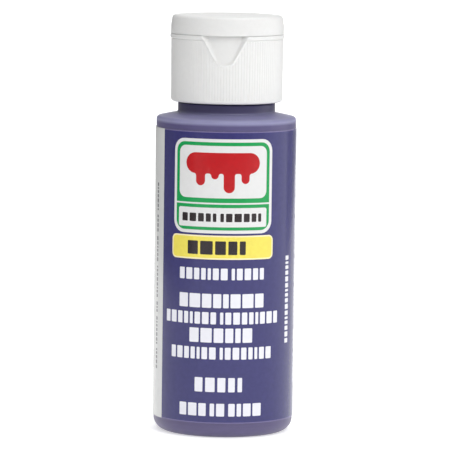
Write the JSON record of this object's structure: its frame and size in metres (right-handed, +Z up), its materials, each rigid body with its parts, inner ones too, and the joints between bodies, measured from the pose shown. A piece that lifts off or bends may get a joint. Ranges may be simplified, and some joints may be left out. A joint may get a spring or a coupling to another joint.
{
  "type": "craft paint bottle",
  "caption": "Round squeeze bottle of craft paint with a wrap-around label and a ribbed screw closure whose flip lid opens on a living hinge.",
  "frame": {"origin": "centre of the bottle's base, on the surface that it stands on", "axes": "+Z up along the bottle's axis; -Y is the front, where the label's badge and the lid's thumb recess face; +X is to the right of someone facing the front"},
  "size_m": [0.0356, 0.0356, 0.105],
  "materials": {
    "bottle_plastic": "satin",
    "label_film": "satin",
    "paint": "gloss",
    "closure_plastic": "satin"
  },
  "bodies": {
    "bottle": {"bottle": "bottle_plastic", "label": "label_film", "paint": "paint", "paint_coat": "paint"},
    "cap_lift": {"plug_seal": "closure_plastic"},
    "cap": {"cap_body": "closure_plastic", "nozzle": "closure_plastic", "living_hinge": "closure_plastic"},
    "lid": {"lid": "closure_plastic", "lid_plug": "closure_plastic"}
  },
  "joints": [
    {"name": "cap_rise", "type": "slide", "parent": "bottle", "child": "cap_lift", "axis": [0, 0, 1], "range_m": [0, 0.00477]},
    {"name": "cap_turn", "type": "hinge", "parent": "cap_lift", "child": "cap", "pos_m": [0, 0, 0.0917], "axis": [0, 0, 1], "range_deg": [0, 540]},
    {"name": "lid_flip", "type": "hinge", "parent": "cap", "child": "lid", "pos_m": [0, 0.01339, 0.10026], "axis": [-1, 0, 0], "range_deg": [0, 135], "deforming": ["living_hinge"]}
  ],
  "couplings": [
    {"joint": "cap_rise", "follows": "cap_turn", "m_per_rad": 0.00050532}
  ]
}
